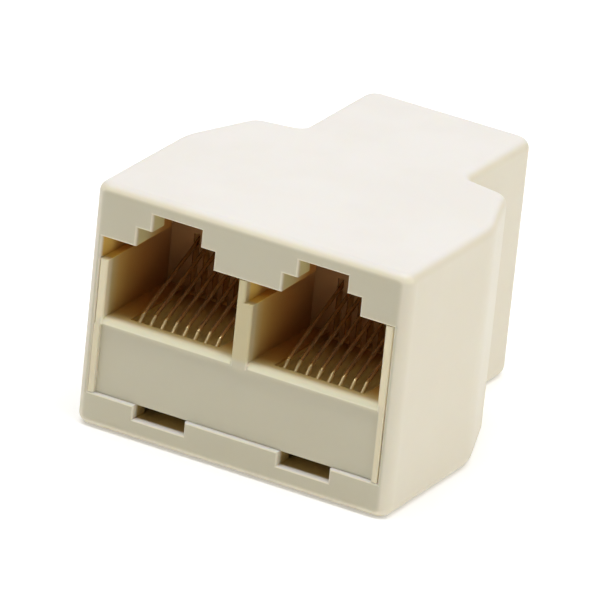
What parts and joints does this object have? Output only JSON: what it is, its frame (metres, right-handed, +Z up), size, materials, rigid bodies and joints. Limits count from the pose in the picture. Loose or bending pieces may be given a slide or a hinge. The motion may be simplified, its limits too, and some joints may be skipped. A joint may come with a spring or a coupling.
{
  "type": "rj45 splitter adapter",
  "caption": "Small moulded adapter block with two modular sockets side by side in its wide end and a single socket in its narrower neck.",
  "frame": {"origin": "bottom centre of the adapter's box, on the surface it stands on", "axes": "+X to the right seen from the two sockets, +Y from the two sockets towards the neck, +Z up; the key-ways are at the top of each socket"},
  "size_m": [0.0288, 0.033, 0.021],
  "materials": {
    "housing_plastic": "cream moulded plastic, soft sheen",
    "insert_plastic": "cream moulded plastic, soft sheen",
    "board_laminate": "glass-fibre laminate",
    "contact_metal": "thin gold plating on formed spring wire"
  },
  "bodies": {
    "root": {"housing": "housing_plastic", "front_insert": "insert_plastic", "rear_insert": "insert_plastic", "link_board": "board_laminate", "front_left_contact_1": "contact_metal", "front_left_contact_2": "contact_metal", "front_left_contact_3": "contact_metal", "front_left_contact_4": "contact_metal", "front_left_contact_5": "contact_metal", "front_left_contact_6": "contact_metal", "front_left_contact_7": "contact_metal", "front_left_contact_8": "contact_metal", "front_right_contact_1": "contact_metal", "front_right_contact_2": "contact_metal", "front_right_contact_3": "contact_metal", "front_right_contact_4": "contact_metal", "front_right_contact_5": "contact_metal", "front_right_contact_6": "contact_metal", "front_right_contact_7": "contact_metal", "front_right_contact_8": "contact_metal", "rear_contact_1": "contact_metal", "rear_contact_2": "contact_metal", "rear_contact_3": "contact_metal", "rear_contact_4": "contact_metal", "rear_contact_5": "contact_metal", "rear_contact_6": "contact_metal", "rear_contact_7": "contact_metal", "rear_contact_8": "contact_metal"}
  },
  "joints": []
}
